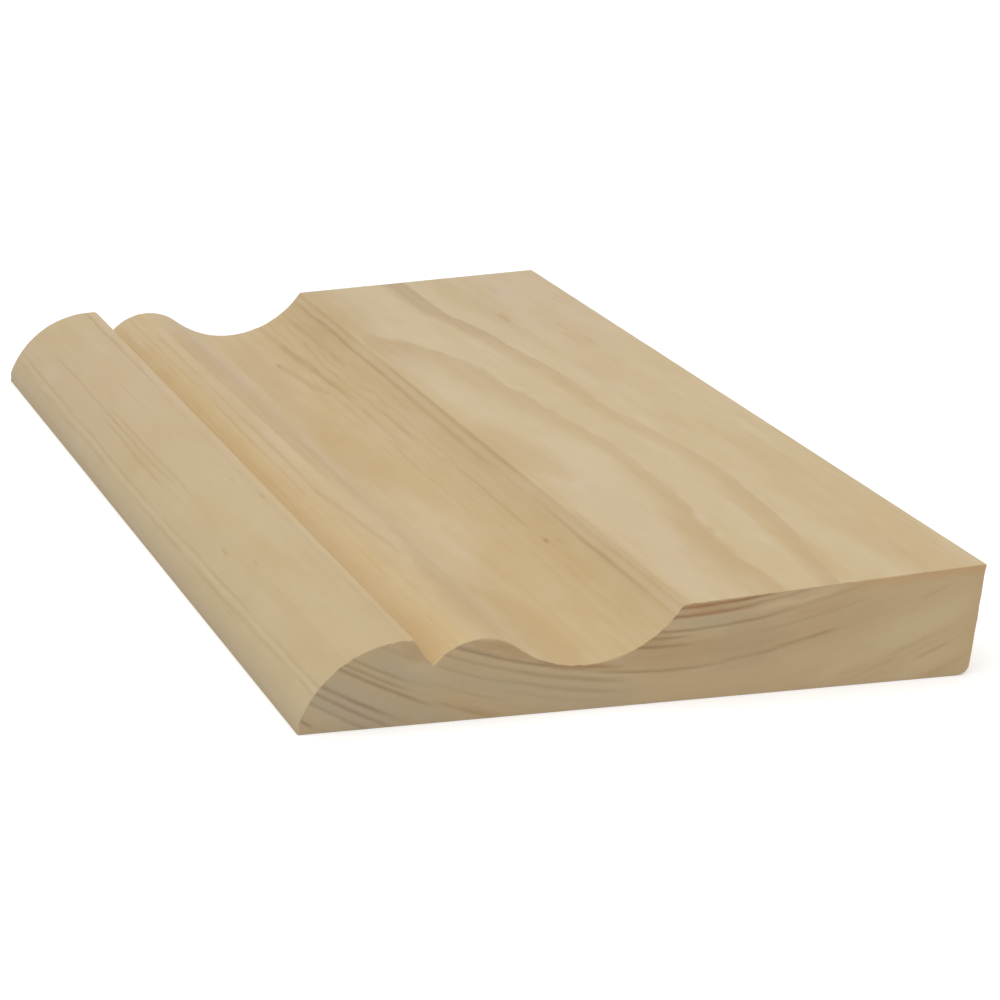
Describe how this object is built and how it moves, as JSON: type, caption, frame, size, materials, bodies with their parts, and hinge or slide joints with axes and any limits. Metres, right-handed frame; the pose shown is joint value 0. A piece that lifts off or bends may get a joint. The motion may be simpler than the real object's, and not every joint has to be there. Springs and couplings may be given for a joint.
{
  "type": "skirting board length",
  "caption": "Short length of softwood skirting board with a rounded nose, groove, bead and cove moulded along its face.",
  "frame": {"origin": "middle of the flat back, half way along the length and half way between the outermost points of the two long edges", "axes": "+X across the board from the moulded edge to the thick edge, +Y along the grain, +Z out of the moulded face; the board lies on its back"},
  "size_m": [0.119, 0.22, 0.0195],
  "materials": {
    "softwood": "planed, unfinished"
  },
  "bodies": {
    "root": {"skirting_board": "softwood"}
  },
  "joints": []
}
